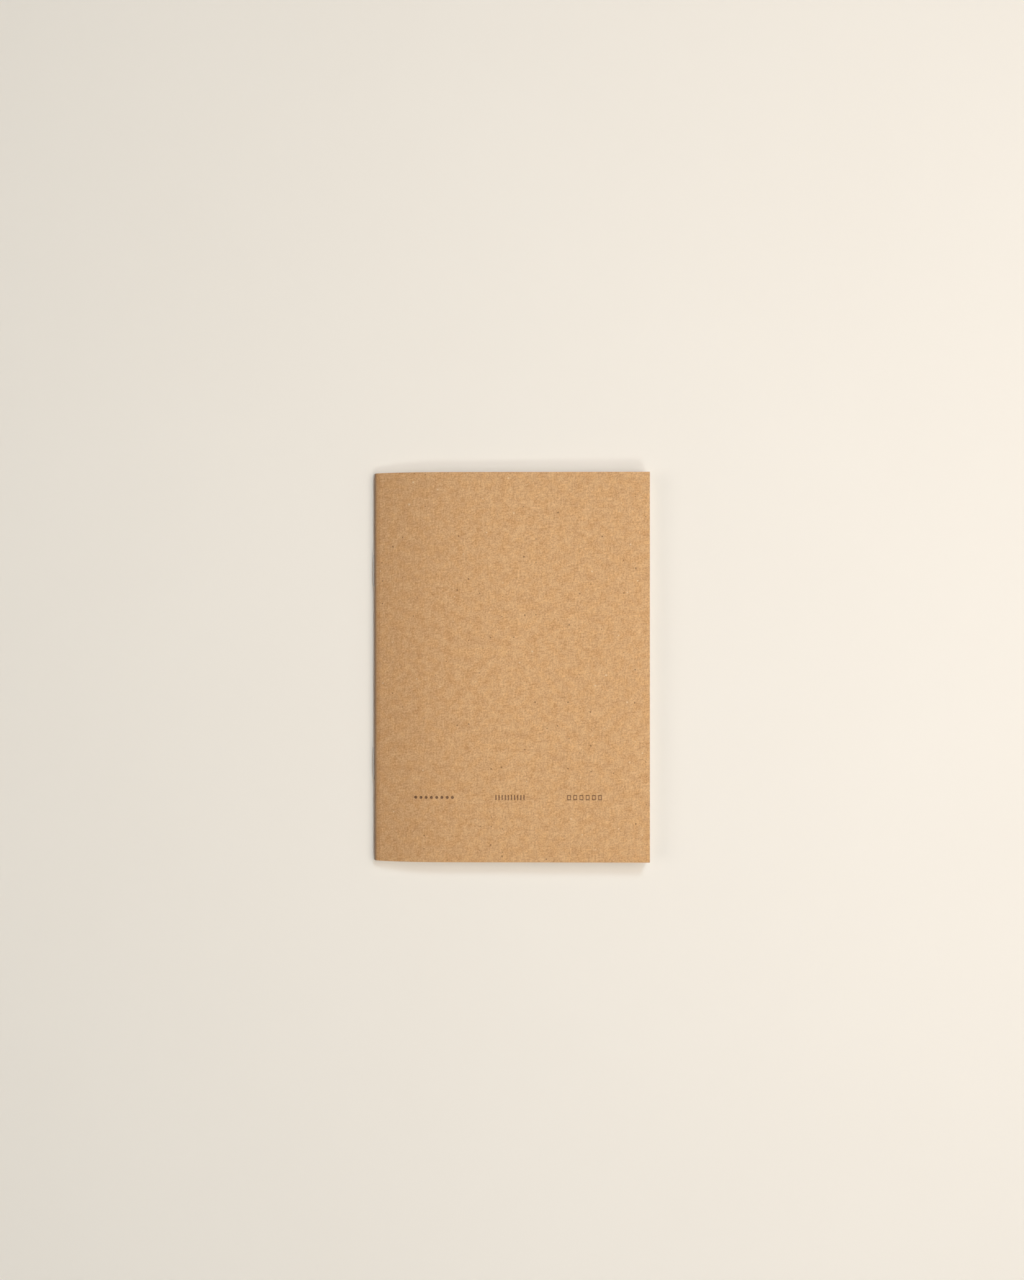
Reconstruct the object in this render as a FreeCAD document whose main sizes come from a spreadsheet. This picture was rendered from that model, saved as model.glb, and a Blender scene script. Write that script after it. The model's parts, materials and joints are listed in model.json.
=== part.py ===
import FreeCAD, Part
import os
import Sketcher

# A stapled A6 pocket notebook lying shut on its back cover, in millimetres.
# X runs from the spine (-X) to the fore edge (+X), Y runs along the spine, Z is up.
# The origin is at the bottom centre of the whole notebook.
# Each folded sheet is one fold at the spine and two leaves that turn about it.

SHEETS = 12
LEAVES = 2 * SHEETS

# Alias, value in millimetres, and what the size is.
SIZES = (
    ("page_width", 105, "spine to fore edge"),
    ("page_length", 148, "head to tail along the spine"),
    ("card_thickness", 0.35, "cover card"),
    ("card_gap", 0.03, "air between the card and the outermost sheet"),
    ("leaf_thickness", 0.105, "one leaf of paper"),
    ("leaf_gap", 0.02, "air between neighbouring leaves at the fold"),
    ("fold_gap", 0.08, "air between a fold and the leaf that turns from it"),
    ("wire_diameter", 0.4, "staple wire"),
    ("wire_play", 0.05, "air around the clinched wire in the innermost fold"),
    ("hole_play", 0.05, "air around a staple leg in its hole"),
    ("crown_gap", 0.02, "air between a staple's crown and the spine"),
    ("staple_crown", 12, "distance between a staple's two legs"),
    ("staple_spacing", 74, "distance between the middles of the two staples"),
    ("staple_arm", 4.5, "straight part of a clinched staple end"),
    ("staple_bend", 0.25, "bend radius on the wire's centre line"),
    ("cover_rise", 4.2, "how far the front cover springs up at its fore edge"),
    ("bend_rise", 3.3, "how far it has risen where its bend ends"),
    ("bend_run", 24, "distance from the fold to the end of that bend"),
)

# Sizes worked out from the sheet, as expressions in the sheet's own values.
PITCH = "(dims.leaf_thickness + dims.leaf_gap)"
CORE = "(dims.wire_diameter / 2 + dims.wire_play)"
CARD_INNER = f"({CORE} + {SHEETS} * {PITCH} - dims.leaf_gap + dims.card_gap)"
SPINE_RADIUS = f"({CARD_INNER} + dims.card_thickness)"
CROWN_OUT = "(dims.crown_gap + dims.wire_diameter)"
FOLD_X = f"({SPINE_RADIUS} + {CROWN_OUT} / 2 - dims.page_width / 2)"
STRIP_END = f"(dims.page_width - {SPINE_RADIUS})"
COVER_ROOT = f"({SPINE_RADIUS} + {CARD_INNER})"
BLOCK_BASE = "(dims.card_thickness + dims.card_gap)"
FAN_HEIGHT = f"({COVER_ROOT} + dims.cover_rise - {BLOCK_BASE})"


def fold_inner(sheet_number):
    """Inner radius of a sheet's fold; sheet 1 is the outermost."""
    return f"({CORE} + {SHEETS - sheet_number} * {PITCH})"


def fold_outer(sheet_number):
    return f"({fold_inner(sheet_number)} + dims.leaf_thickness)"


def leaf_root(leaf_number):
    """Height of a leaf's underside at the fold; leaf 1 is the top one."""
    if leaf_number <= SHEETS:
        return f"({SPINE_RADIUS} + {fold_inner(leaf_number)})"
    return f"({SPINE_RADIUS} - {fold_outer(LEAVES + 1 - leaf_number)})"


def leaf_share(leaf_number):
    """A leaf's rise over the cover's: the leaves divide the height at the fore edge evenly."""
    place = (LEAVES + 0.5 - leaf_number) / (LEAVES + 0.5)
    edge = f"({BLOCK_BASE} + {place:.6f} * {FAN_HEIGHT})"
    return f"(({edge} - {leaf_root(leaf_number)}) / dims.cover_rise)"


def make_sheet(document):
    sheet = document.addObject("Spreadsheet::Sheet", "dims")
    for row, (alias, size, meaning) in enumerate(SIZES, start=1):
        sheet.set(f"A{row}", meaning)
        sheet.set(f"B{row}", str(size))
        sheet.setAlias(f"B{row}", alias)
    document.recompute()
    return sheet


def number(expression):
    """The value of an expression, used only to draw a sketch near its solution."""
    value = dims.evalExpression(expression)
    return float(getattr(value, "Value", value))


def new_body(label):
    """A body whose own origin lies under the centre of the spine's folds."""
    body = doc.addObject("PartDesign::Body", label)
    body.Label = label
    body.setExpression("Placement.Base.x", FOLD_X)
    return body


def new_sketch(body, name, role):
    """A sketch on one of the body's own origin planes."""
    sketch = body.newObject("Sketcher::SketchObject", f"{body.Name}_{name}")
    plane = [item for item in body.Origin.OriginFeatures if item.Role == role][0]
    sketch.AttachmentSupport = (plane, [""])
    sketch.MapMode = "FlatFace"
    return sketch


def bind(sketch, name, expression, kind, *where):
    """Add a named constraint whose size follows an expression."""
    index = sketch.addConstraint(Sketcher.Constraint(kind, *where, number(expression)))
    sketch.renameConstraint(index, name)
    sketch.setExpression(f"Constraints.{name}", expression)


def pad_along_spine(body, sketch):
    pad = body.newObject("PartDesign::Pad", f"{body.Name}_pad")
    pad.Profile = sketch
    pad.Midplane = True
    pad.setExpression("Length", "dims.page_length")
    body.Tip = pad
    return pad


def strip_curve(sketch, side, start, root, share, lift):
    """One face of a leaf or cover: an arc from the fold, then a straight run."""
    x_list = (start, "dims.bend_run", STRIP_END)
    rises = ("0", "dims.bend_rise", "dims.cover_rise")
    z_list = [f"{root} + {share} * {rise} + {lift}" for rise in rises]
    ends = [FreeCAD.Vector(number(x), number(z), 0) for x, z in zip(x_list, z_list)]
    slope = (ends[2] - ends[1]).normalize()
    chord = (ends[1] - ends[0]).normalize()
    across = FreeCAD.Vector(-chord.y, chord.x, 0)
    sag = (ends[1] - ends[0]).Length / 4 * (chord.x * slope.y - chord.y * slope.x)
    middle = (ends[0] + ends[1]) / 2 - across * sag
    arc = sketch.addGeometry(Part.Arc(ends[0], middle, ends[1]), False)
    line = sketch.addGeometry(Part.LineSegment(ends[1], ends[2]), False)
    arc_root, arc_end = (2, 1) if sag < 0 else (1, 2)
    sketch.addConstraint(Sketcher.Constraint("Tangent", arc, arc_end, line, 1))
    spots = ((arc, arc_root, "root"), (line, 1, "bend"), (line, 2, "edge"))
    for (item, point, spot), x, z in zip(spots, x_list, z_list):
        bind(sketch, f"{side}_{spot}_x", x, "DistanceX", -1, 1, item, point)
        bind(sketch, f"{side}_{spot}_z", z, "DistanceY", -1, 1, item, point)
    return (arc, arc_root), (line, 2), ends


def close_end(sketch, lower, upper, lower_spot, upper_spot):
    edge = sketch.addGeometry(Part.LineSegment(lower_spot, upper_spot), False)
    sketch.addConstraint(Sketcher.Constraint("Coincident", *lower, edge, 1))
    sketch.addConstraint(Sketcher.Constraint("Coincident", *upper, edge, 2))


def sprung_strip(label, root, share, thickness):
    """A leaf or the front cover, risen by its share of the front cover's own rise."""
    body = new_body(label)
    sketch = new_sketch(body, "section", "XZ_Plane")
    low_root, low_edge, low = strip_curve(sketch, "low", "dims.fold_gap", root, share, "0")
    top_root, top_edge, top = strip_curve(sketch, "top", "dims.fold_gap", root, share, thickness)
    close_end(sketch, low_root, top_root, low[0], top[0])
    close_end(sketch, low_edge, top_edge, low[2], top[2])
    pad_along_spine(body, sketch)
    return body


def flat_strip(label, thickness):
    """The back cover, flat on the table and joined to the spine without a gap."""
    body = new_body(label)
    sketch = new_sketch(body, "section", "XZ_Plane")
    end = number(STRIP_END)
    top = number(thickness)
    corners = [FreeCAD.Vector(x, z, 0) for x, z in ((0, 0), (end, 0), (end, top), (0, top))]
    edges = [
        sketch.addGeometry(Part.LineSegment(this, after), False)
        for this, after in zip(corners, corners[1:] + corners[:1])
    ]
    for this, after in zip(edges, edges[1:] + edges[:1]):
        sketch.addConstraint(Sketcher.Constraint("Coincident", this, 2, after, 1))
    for line, direction in zip(edges, ("Horizontal", "Vertical", "Horizontal", "Vertical")):
        sketch.addConstraint(Sketcher.Constraint(direction, line))
    sketch.addConstraint(Sketcher.Constraint("Coincident", edges[0], 1, -1, 1))
    bind(sketch, "width", STRIP_END, "DistanceX", edges[0], 1, edges[0], 2)
    bind(sketch, "height", thickness, "DistanceY", edges[1], 1, edges[1], 2)
    pad_along_spine(body, sketch)
    return body


def half_ring(sketch, outer, inner):
    """Section of a fold: half a ring on the spine's side of the fold centre."""
    centre = FreeCAD.Vector(0, number(SPINE_RADIUS), 0)
    arcs = []
    for name, radius in (("outer", outer), ("inner", inner)):
        reach = number(radius)
        top = centre + FreeCAD.Vector(0, reach, 0)
        side = centre - FreeCAD.Vector(reach, 0, 0)
        bottom = centre - FreeCAD.Vector(0, reach, 0)
        arc = sketch.addGeometry(Part.Arc(top, side, bottom), False)
        sketch.addConstraint(Sketcher.Constraint("PointOnObject", arc, 3, -2))
        sketch.addConstraint(Sketcher.Constraint("PointOnObject", arc, 1, -2))
        sketch.addConstraint(Sketcher.Constraint("PointOnObject", arc, 2, -2))
        bind(sketch, f"{name}_centre", SPINE_RADIUS, "DistanceY", -1, 1, arc, 3)
        bind(sketch, f"{name}_radius", radius, "Radius", arc)
        arcs.append((arc, top, bottom))
    (big, big_top, big_bottom), (small, small_top, small_bottom) = arcs
    close_end(sketch, (big, 1), (small, 1), big_top, small_top)
    close_end(sketch, (big, 2), (small, 2), big_bottom, small_bottom)


def leg_holes(body):
    """Four holes along X, one for each leg of the two staples."""
    sketch = new_sketch(body, "holes", "YZ_Plane")
    radius = "(dims.wire_diameter / 2 + dims.hole_play)"
    near = "(dims.staple_spacing - dims.staple_crown) / 2"
    far = "(dims.staple_spacing + dims.staple_crown) / 2"
    circles = []
    for across in (number(near), number(far), -number(near), -number(far)):
        centre = FreeCAD.Vector(across, number(SPINE_RADIUS), 0)
        ring = Part.Circle(centre, FreeCAD.Vector(0, 0, 1), number(radius))
        circles.append(sketch.addGeometry(ring, False))
    for name, circle, across in (("near", circles[0], near), ("far", circles[1], far)):
        bind(sketch, f"{name}_y", across, "DistanceX", -1, 1, circle, 3)
        bind(sketch, f"{name}_z", SPINE_RADIUS, "DistanceY", -1, 1, circle, 3)
    for this, other in zip(circles[:2], circles[2:]):
        sketch.addConstraint(Sketcher.Constraint("Symmetric", this, 3, other, 3, -2))
    bind(sketch, "hole_radius", radius, "Radius", circles[0])
    for circle in circles[1:]:
        sketch.addConstraint(Sketcher.Constraint("Equal", circles[0], circle))
    pocket = body.newObject("PartDesign::Pocket", f"{body.Name}_holes_cut")
    pocket.Profile = sketch
    pocket.Type = "ThroughAll"
    pocket.Midplane = True
    body.Tip = pocket
    return pocket


def fold_piece(label, outer, inner):
    body = new_body(label)
    sketch = new_sketch(body, "section", "XZ_Plane")
    half_ring(sketch, outer, inner)
    pad = pad_along_spine(body, sketch)
    pocket = leg_holes(body)
    doc.recompute()
    if pocket.Shape.Volume >= pad.Shape.Volume:
        raise RuntimeError(f"{label}: the staple holes cut nothing")
    return body


def staple_path(sketch, leg):
    """Centre line of a staple: arm, leg, crown, leg, arm, with a bend between each."""
    bend = number("dims.staple_bend")
    half = number("dims.staple_crown / 2")
    arm = number("dims.staple_arm")
    reach = number(leg)
    corner = bend * 2 ** -0.5
    spot = FreeCAD.Vector
    upper = [
        Part.LineSegment(spot(0, half - bend - arm, 0), spot(0, half - bend, 0)),
        Part.Arc(spot(0, half - bend, 0), spot(corner - bend, half - bend + corner, 0),
                 spot(-bend, half, 0)),
        Part.LineSegment(spot(-bend, half, 0), spot(bend - reach, half, 0)),
        Part.Arc(spot(bend - reach, half, 0), spot(bend - reach - corner, half - bend + corner, 0),
                 spot(-reach, half - bend, 0)),
    ]
    crown = Part.LineSegment(spot(-reach, half - bend, 0), spot(-reach, bend - half, 0))
    lower = [
        Part.Arc(spot(-reach, bend - half, 0), spot(bend - reach - corner, bend - half - corner, 0),
                 spot(bend - reach, -half, 0)),
        Part.LineSegment(spot(bend - reach, -half, 0), spot(-bend, -half, 0)),
        Part.Arc(spot(-bend, -half, 0), spot(corner - bend, bend - half - corner, 0),
                 spot(0, bend - half, 0)),
        Part.LineSegment(spot(0, bend - half, 0), spot(0, bend - half + arm, 0)),
    ]
    items = [sketch.addGeometry(item, False) for item in upper + [crown] + lower]
    # Each bend is drawn anticlockwise, so the path meets an arc's start point first.
    for first, second in zip(items, items[1:]):
        sketch.addConstraint(Sketcher.Constraint("Tangent", first, 2, second, 1))
    arm_in, bend_one, leg_one, bend_two, crown_line, bend_three, leg_two, bend_four, arm_out = items
    for line in (arm_in, crown_line, arm_out):
        sketch.addConstraint(Sketcher.Constraint("Vertical", line))
    for line in (leg_one, leg_two):
        sketch.addConstraint(Sketcher.Constraint("Horizontal", line))
    for line in (arm_in, arm_out):
        sketch.addConstraint(Sketcher.Constraint("PointOnObject", line, 1, -2))
    bind(sketch, "bend", "dims.staple_bend", "Radius", bend_one)
    for arc in (bend_two, bend_three, bend_four):
        sketch.addConstraint(Sketcher.Constraint("Equal", bend_one, arc))
    bind(sketch, "leg", leg, "DistanceX", crown_line, 1, arm_in, 2)
    bind(sketch, "half_crown", "dims.staple_crown / 2", "DistanceY", -1, 1, leg_one, 1)
    bind(sketch, "crown", "dims.staple_crown", "DistanceY", leg_two, 1, leg_one, 2)
    bind(sketch, "arm", "dims.staple_arm", "DistanceY", arm_in, 1, arm_in, 2)
    bind(sketch, "other_arm", "dims.staple_arm", "DistanceY", arm_out, 1, arm_out, 2)
    return items


def staple(label, side):
    """A wire staple driven in from outside the spine, its ends clinched in the middle."""
    body = new_body(label)
    body.setExpression("Placement.Base.y", f"{side} * dims.staple_spacing / 2")
    leg = f"({SPINE_RADIUS} + dims.crown_gap + dims.wire_diameter / 2)"
    path = new_sketch(body, "path", "XY_Plane")
    path.setExpression("AttachmentOffset.Base.z", SPINE_RADIUS)
    items = staple_path(path, leg)
    section = new_sketch(body, "section", "XZ_Plane")
    start = "(dims.staple_crown / 2 - dims.staple_bend - dims.staple_arm)"
    section.setExpression("AttachmentOffset.Base.z", f"-{start}")
    centre = FreeCAD.Vector(0, number(SPINE_RADIUS), 0)
    ring = Part.Circle(centre, FreeCAD.Vector(0, 0, 1), number("dims.wire_diameter / 2"))
    wire = section.addGeometry(ring, False)
    section.addConstraint(Sketcher.Constraint("PointOnObject", wire, 3, -2))
    bind(section, "height", SPINE_RADIUS, "DistanceY", -1, 1, wire, 3)
    bind(section, "wire", "dims.wire_diameter / 2", "Radius", wire)
    doc.recompute()
    pipe = body.newObject("PartDesign::AdditivePipe", f"{label}_wire")
    pipe.Profile = section
    pipe.Spine = (path, [f"Edge{index + 1}" for index in range(len(items))])
    body.Tip = pipe
    return body


def check_document():
    """Stop before anything is written if an object failed or a shape is not sound."""
    for item in doc.Objects:
        if "Invalid" in item.State or "Error" in item.State:
            raise RuntimeError(f"{item.Label} failed: {item.State}")
    for body in pieces:
        if body.Shape.isNull() or not body.Shape.isValid() or not body.Shape.Solids:
            raise RuntimeError(f"{body.Label} has no sound solid")


doc = FreeCAD.newDocument("notebook")
dims = make_sheet(doc)

pieces = [flat_strip("back_cover", "dims.card_thickness")]
pieces.append(fold_piece("cover_spine", SPINE_RADIUS, CARD_INNER))
pieces.append(sprung_strip("front_cover", COVER_ROOT, "1", "dims.card_thickness"))
for sheet_number in range(1, SHEETS + 1):
    label = f"sheet_{sheet_number:02d}_fold"
    pieces.append(fold_piece(label, fold_outer(sheet_number), fold_inner(sheet_number)))
for leaf_number in range(1, LEAVES + 1):
    label = f"leaf_{leaf_number:02d}"
    root = leaf_root(leaf_number)
    pieces.append(sprung_strip(label, root, leaf_share(leaf_number), "dims.leaf_thickness"))
pieces.append(staple("staple_upper", 1))
pieces.append(staple("staple_lower", -1))

doc.recompute()
check_document()
os.makedirs("parts", exist_ok=True)
for body in pieces:
    body.Shape.exportStep(f"parts/{body.Label}.step")
    box = body.Shape.BoundBox
    print(f"{body.Label}: volume {body.Shape.Volume:.2f}, "
          f"x {box.XMin:.3f} to {box.XMax:.3f}, y {box.YMin:.3f} to {box.YMax:.3f}, "
          f"z {box.ZMin:.3f} to {box.ZMax:.3f}")
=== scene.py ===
import json
import math

import bmesh
import bpy
from mathutils import Matrix, Vector


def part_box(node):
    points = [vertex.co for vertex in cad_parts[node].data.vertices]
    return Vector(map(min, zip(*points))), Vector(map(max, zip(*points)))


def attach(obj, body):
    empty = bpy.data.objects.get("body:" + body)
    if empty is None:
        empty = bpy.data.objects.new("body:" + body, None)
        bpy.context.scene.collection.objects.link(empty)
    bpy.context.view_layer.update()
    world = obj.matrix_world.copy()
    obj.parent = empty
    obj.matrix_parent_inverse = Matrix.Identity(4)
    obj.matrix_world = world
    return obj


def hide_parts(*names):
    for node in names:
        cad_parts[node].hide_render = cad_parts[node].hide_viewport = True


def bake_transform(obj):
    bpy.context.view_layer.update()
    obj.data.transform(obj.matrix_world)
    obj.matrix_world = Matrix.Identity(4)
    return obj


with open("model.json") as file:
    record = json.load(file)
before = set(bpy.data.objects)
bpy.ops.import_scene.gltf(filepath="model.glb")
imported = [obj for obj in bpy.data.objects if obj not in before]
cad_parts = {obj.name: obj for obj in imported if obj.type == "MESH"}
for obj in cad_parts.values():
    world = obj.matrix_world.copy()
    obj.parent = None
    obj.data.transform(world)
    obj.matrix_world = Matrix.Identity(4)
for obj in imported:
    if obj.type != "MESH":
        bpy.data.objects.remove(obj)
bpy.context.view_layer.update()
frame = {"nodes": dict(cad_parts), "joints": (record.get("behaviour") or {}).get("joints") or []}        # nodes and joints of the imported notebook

bl_info = {
    "name": "Pocket Notebook",
    "version": (1, 0, 0),
    "blender": (4, 5, 0),
    "location": "View3D > Sidebar > Notebook",
    "description": "Kraft card cover, dotted leaves, folds and wire staples of a pocket notebook",
    "category": "Object",
}

MM = 0.001

ROOT_BODY = "back_and_spine"
HINGE = Vector(frame["joints"][0]["pos_m"])
SPINE_LOW, SPINE_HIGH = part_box("cover_spine")
BACK_LOW, BACK_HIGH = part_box("back_cover")
SPINE_RADIUS = (SPINE_HIGH.z - SPINE_LOW.z) / 2
SPINE_CENTRE = Vector((HINGE.x, 0, SPINE_LOW.z + SPINE_RADIUS))
CARD = BACK_HIGH.z - BACK_LOW.z
CARD_WRAP = math.pi / 2 * SPINE_RADIUS    # card from the middle of the spine to where a cover starts
LEAF_NAMES = sorted(name for name in frame["nodes"] if name.startswith("leaf_"))
FOLD_NAMES = sorted(name for name in frame["nodes"] if name.endswith("_fold"))
STAPLE_NAMES = sorted(name for name in frame["nodes"] if name.startswith("staple_"))
Y_AXIS = Vector((0, 1, 0))

WELD = 0.001 * MM                    # vertices nearer than this are one
SMOOTH_UP_TO = math.radians(40)      # a steeper edge stays sharp when shaded
SOFTEN_FROM = math.radians(60)       # a steeper edge gets its softened corner
FACING = 0.7                         # share of an axis in the normal of a face that looks along it
SPINE_STEPS = 32

PRINT_HEIGHT = 24.6 * MM             # printed rows, over the foot of the cover
SPECKS_GONE = 1.9 * MM               # specks of the card, from the middle of those rows
SPECKS_FULL = 3.2 * MM

FLOOR_GAP = 0.05 * MM                # keeps the table just under the back cover
FLOOR_RADIUS = 2.8
SWEEP_RADIUS = 0.8
WALL_RISE = 1.6


# ---------------------------------------------------------------- settings

class NotebookSizes(bpy.types.PropertyGroup):
    """Sizes that a user would change, in metres."""

    leaf_thickness: bpy.props.FloatProperty(
        name="Leaf Thickness", description="Thickness of one leaf of paper",
        default=0.105 * MM, unit="LENGTH", precision=6)
    bend_run: bpy.props.FloatProperty(
        name="Bend Run", description="Distance from the fold to where a leaf or the cover runs straight",
        default=24 * MM, unit="LENGTH", precision=5)
    bend_share: bpy.props.FloatProperty(
        name="Bend Share", description="Part of the whole rise that is reached where the bend ends",
        default=3.3 / 4.2, min=0.5, max=1.0, subtype="FACTOR")
    cover_crease: bpy.props.FloatProperty(
        name="Cover Crease", description="Width of card that gives way when the cover is opened",
        default=1.0 * MM, unit="LENGTH", precision=5)
    leaf_crease: bpy.props.FloatProperty(
        name="Leaf Crease", description="Width of paper that gives way when a leaf is turned",
        default=3.0 * MM, unit="LENGTH", precision=5)
    card_edge: bpy.props.FloatProperty(
        name="Card Edge", description="Roundness of the cut edges of the card",
        default=0.07 * MM, unit="LENGTH", precision=6)
    spine_corner: bpy.props.FloatProperty(
        name="Spine Corner", description="Roundness of the worn ends of the spine",
        default=0.3 * MM, unit="LENGTH", precision=6)
    dot_pitch: bpy.props.FloatProperty(
        name="Dot Pitch", description="Distance between the dots printed on the leaves",
        default=5 * MM, unit="LENGTH", precision=5)
    dot_size: bpy.props.FloatProperty(
        name="Dot Size", description="Diameter of a printed dot",
        default=0.5 * MM, unit="LENGTH", precision=5)
    camera_height: bpy.props.FloatProperty(
        name="Camera Height", description="Height of the camera over the table",
        default=0.47, unit="LENGTH")
    camera_lens: bpy.props.FloatProperty(
        name="Camera Lens", description="Focal length on a 36 mm frame", default=34.3)


class NotebookColours(bpy.types.PropertyGroup):
    """Colours that a user would change, as linear values."""

    kraft_dark: bpy.props.FloatVectorProperty(
        name="Kraft Dark", description="Darker tone of the card", subtype="COLOR",
        size=4, default=(0.460, 0.237, 0.100, 1))
    kraft_light: bpy.props.FloatVectorProperty(
        name="Kraft Light", description="Lighter tone of the card", subtype="COLOR",
        size=4, default=(0.765, 0.468, 0.234, 1))
    kraft_speck: bpy.props.FloatVectorProperty(
        name="Kraft Speck", description="Dark specks of bark in the card", subtype="COLOR",
        size=4, default=(0.150, 0.072, 0.030, 1))
    kraft_fleck: bpy.props.FloatVectorProperty(
        name="Kraft Fleck", description="Pale flecks of fibre in the card", subtype="COLOR",
        size=4, default=(0.86, 0.70, 0.47, 1))
    # Painted shade: this colour darkens the card towards its fold and in a narrow band at its crease.
    kraft_painted_shade: bpy.props.FloatVectorProperty(
        name="Kraft Burnished", description="Card darkened by shading near its fold", subtype="COLOR",
        size=4, default=(0.20, 0.075, 0.020, 1))
    # Painted shade: grey shade painted along the outside of the spine, on its side turned away from the
    # lights.
    kraft_spine_painted_shade: bpy.props.FloatVectorProperty(
        name="Kraft Rubbed", description="Card shadowed grey along the outside of the spine",
        subtype="COLOR", size=4, default=(0.205, 0.145, 0.105, 1))
    card_cut: bpy.props.FloatVectorProperty(
        name="Card Cut", description="Cut edge of the card", subtype="COLOR",
        size=4, default=(0.47, 0.28, 0.135, 1))
    ink: bpy.props.FloatVectorProperty(
        name="Ink", description="Dark brown ink of the marks on the cover", subtype="COLOR",
        size=4, default=(0.090, 0.040, 0.024, 1))
    paper: bpy.props.FloatVectorProperty(
        name="Paper", description="Uncoated paper of the leaves", subtype="COLOR",
        size=4, default=(0.86, 0.80, 0.71, 1))
    dot_ink: bpy.props.FloatVectorProperty(
        name="Dot Ink", description="Grey ink of the dots on the leaves", subtype="COLOR",
        size=4, default=(0.30, 0.30, 0.31, 1))
    steel: bpy.props.FloatVectorProperty(
        name="Steel", description="Drawn steel of the staples", subtype="COLOR",
        size=4, default=(0.60, 0.59, 0.57, 1))
    table: bpy.props.FloatVectorProperty(
        name="Table", description="Pale table top", subtype="COLOR",
        size=4, default=(0.86, 0.79, 0.71, 1))


def sizes():
    return bpy.context.scene.notebook_sizes


def colours():
    return bpy.context.scene.notebook_colours


# ---------------------------------------------------------------- node tools

def place(tree, kind, label, inputs=None, **options):
    """Add a shader node; an input given as a socket is linked, and any other is set."""
    node = tree.nodes.new(kind)
    node.name = label
    node.label = label
    for option, choice in options.items():
        setattr(node, option, choice)
    for slot, source in (inputs or {}).items():
        if isinstance(source, bpy.types.NodeSocket):
            tree.links.new(source, node.inputs[slot])
        else:
            node.inputs[slot].default_value = source
    return node


def sums(tree, operation, label, *terms, clamp=False):
    """The output of one Math node; each term is a socket or a number."""
    inputs = dict(enumerate(terms))
    return place(tree, "ShaderNodeMath", label, inputs, operation=operation, use_clamp=clamp).outputs[0]


def fade(tree, label, source, start, end):
    """1 where the source is at start, falling smoothly to 0 where it is at end."""
    inputs = {"Value": source, 1: start, 2: end, 3: 1.0, 4: 0.0}
    return place(tree, "ShaderNodeMapRange", label, inputs, interpolation_type="SMOOTHSTEP").outputs[0]


def blend_colour(tree, label, share, first, second, mode="MIX"):
    """The first colour where the share is 0, and the second where it is 1."""
    inputs = {0: share, 6: first, 7: second}
    return place(tree, "ShaderNodeMix", label, inputs, data_type="RGBA", blend_type=mode).outputs[2]


def new_group(name, inputs, outputs):
    """A shader node group with its named sockets; each socket is (name, type, default)."""
    group = bpy.data.node_groups.new(name, "ShaderNodeTree")
    for socket, kind, default in inputs:
        made = group.interface.new_socket(socket, in_out="INPUT", socket_type=kind)
        made.default_value = default
    for socket, kind in outputs:
        group.interface.new_socket(socket, in_out="OUTPUT", socket_type=kind)
    entry = group.nodes.new("NodeGroupInput")
    leave = group.nodes.new("NodeGroupOutput")
    return group, entry.outputs, leave.inputs


def use_group(tree, group, label, inputs):
    """Place a shared effect in a material, with its values."""
    return place(tree, "ShaderNodeGroup", label, inputs, node_tree=group)


def in_millimetres(tree, vector):
    inputs = {0: vector, "Scale": 1 / MM}
    return place(tree, "ShaderNodeVectorMath", "Millimetres", inputs, operation="SCALE").outputs[0]


def new_material(name):
    material = bpy.data.materials.new(name)
    material.use_nodes = True
    tree = material.node_tree
    return material, tree, tree.nodes["Principled BSDF"]


# ---------------------------------------------------------------- shared effects

def pulp_group():
    """Cloudy pulp with grain and short fibres, for card and paper."""
    group, given, result = new_group(
        "Pulp",
        (("Vector", "NodeSocketVector", (0, 0, 0)), ("Cloud Size", "NodeSocketFloat", 7.0),
         ("Grain Size", "NodeSocketFloat", 0.8), ("Fibre Length", "NodeSocketFloat", 2.5),
         ("Cloud Share", "NodeSocketFloat", 0.3)),
        (("Tone", "NodeSocketFloat"), ("Height", "NodeSocketFloat")))
    in_mm = in_millimetres(group, given["Vector"])

    def noise(label, vector, size, detail, roughness):
        scale = sums(group, "DIVIDE", label + " scale", 1.0, size)
        inputs = {"Vector": vector, "Scale": scale, "Detail": detail, "Roughness": roughness}
        return place(group, "ShaderNodeTexNoise", label, inputs).outputs[0]

    def strands(label, turn):
        """Noise drawn out along one direction."""
        inputs = {"Vector": in_mm, "Rotation": (0, 0, turn), "Scale": (1.0, 0.28, 1.0)}
        turned = place(group, "ShaderNodeMapping", label + " lie", inputs, vector_type="TEXTURE").outputs[0]
        return noise(label, turned, given["Fibre Length"], 3.0, 0.55)

    cloud = noise("Clouds", in_mm, given["Cloud Size"], 3.0, 0.6)
    grain = noise("Grain", in_mm, given["Grain Size"], 4.0, 0.7)
    along = strands("Long fibres", math.radians(84))
    across = strands("Cross fibres", math.radians(12))
    fibres = sums(group, "ADD", "Both fibres", along, across)
    grain_share = sums(group, "SUBTRACT", "Grain share", 0.64, given["Cloud Share"])
    soft = sums(group, "MULTIPLY_ADD", "Clouds and grain", cloud, given["Cloud Share"], sums(
        group, "MULTIPLY", "Grain part", grain, grain_share))
    tone = sums(group, "MULTIPLY_ADD", "Fibre part", fibres, 0.18, soft)
    group.links.new(tone, result["Tone"])
    group.links.new(sums(group, "MULTIPLY_ADD", "Relief", fibres, 0.3, sums(
        group, "MULTIPLY", "Grain relief", grain, 0.4)), result["Height"])
    return group


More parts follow.
